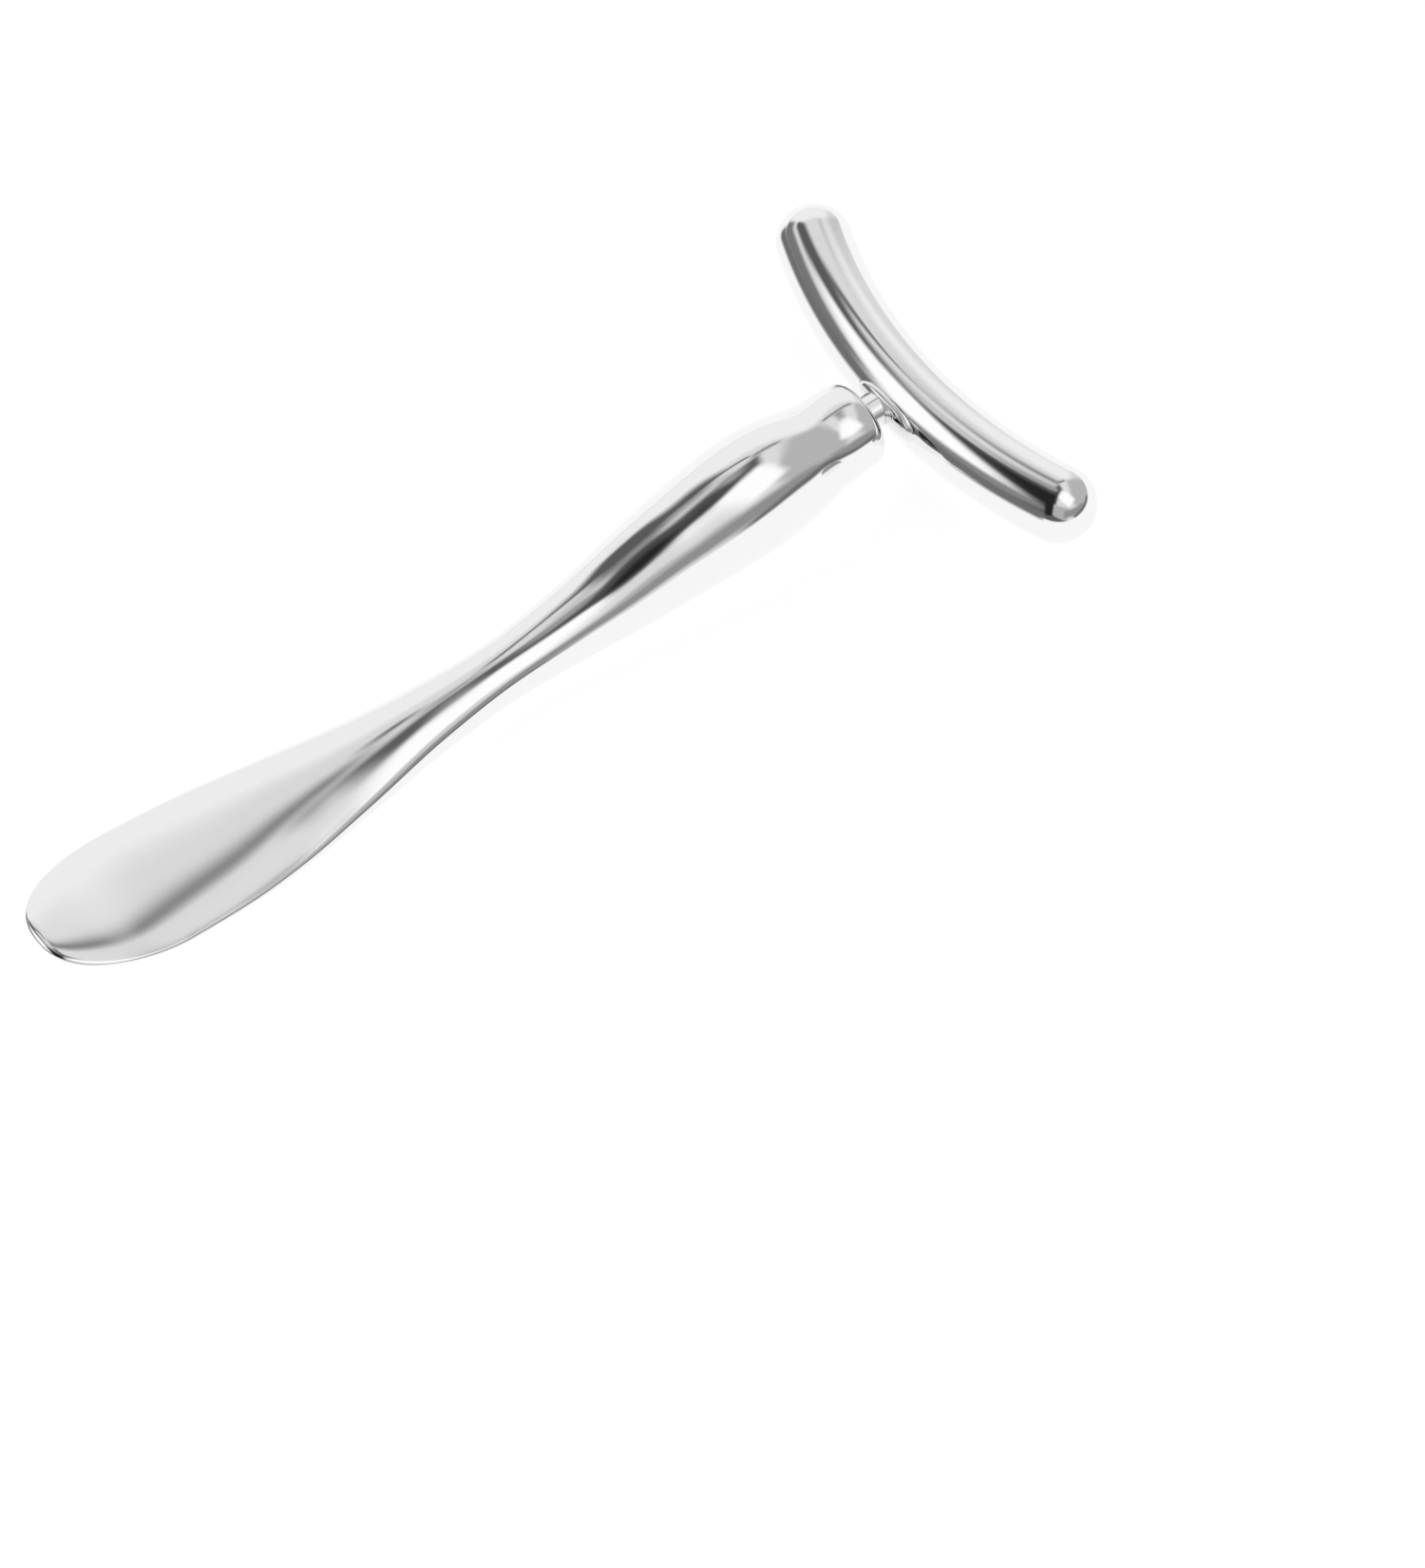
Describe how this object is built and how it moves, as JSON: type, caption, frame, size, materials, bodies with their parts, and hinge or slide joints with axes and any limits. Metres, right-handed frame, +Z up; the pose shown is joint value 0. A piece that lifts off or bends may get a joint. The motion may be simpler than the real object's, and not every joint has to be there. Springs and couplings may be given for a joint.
{
  "type": "hand wand",
  "caption": "Hammer-shaped polished metal hand wand: flat spatula blade, slim waist, swelling grip, short neck and a curved crossbar with round ends.",
  "frame": {"origin": "on the plane that the belly rests on, under the middle of the wand's length and width", "axes": "+X from the blade's tip to the crossbar, +Z up from the resting belly, +Y across, along the crossbar"},
  "size_m": [0.1034, 0.0438, 0.0122],
  "materials": {
    "handle_metal": "mirror polished plated zinc alloy",
    "collar_metal": "mirror polished plated zinc alloy",
    "stud_steel": "turned steel",
    "bar_metal": "mirror polished plated zinc alloy"
  },
  "bodies": {
    "root": {"handle": "handle_metal", "neck_collar": "collar_metal", "neck_stud": "stud_steel", "crossbar": "bar_metal"}
  },
  "joints": []
}
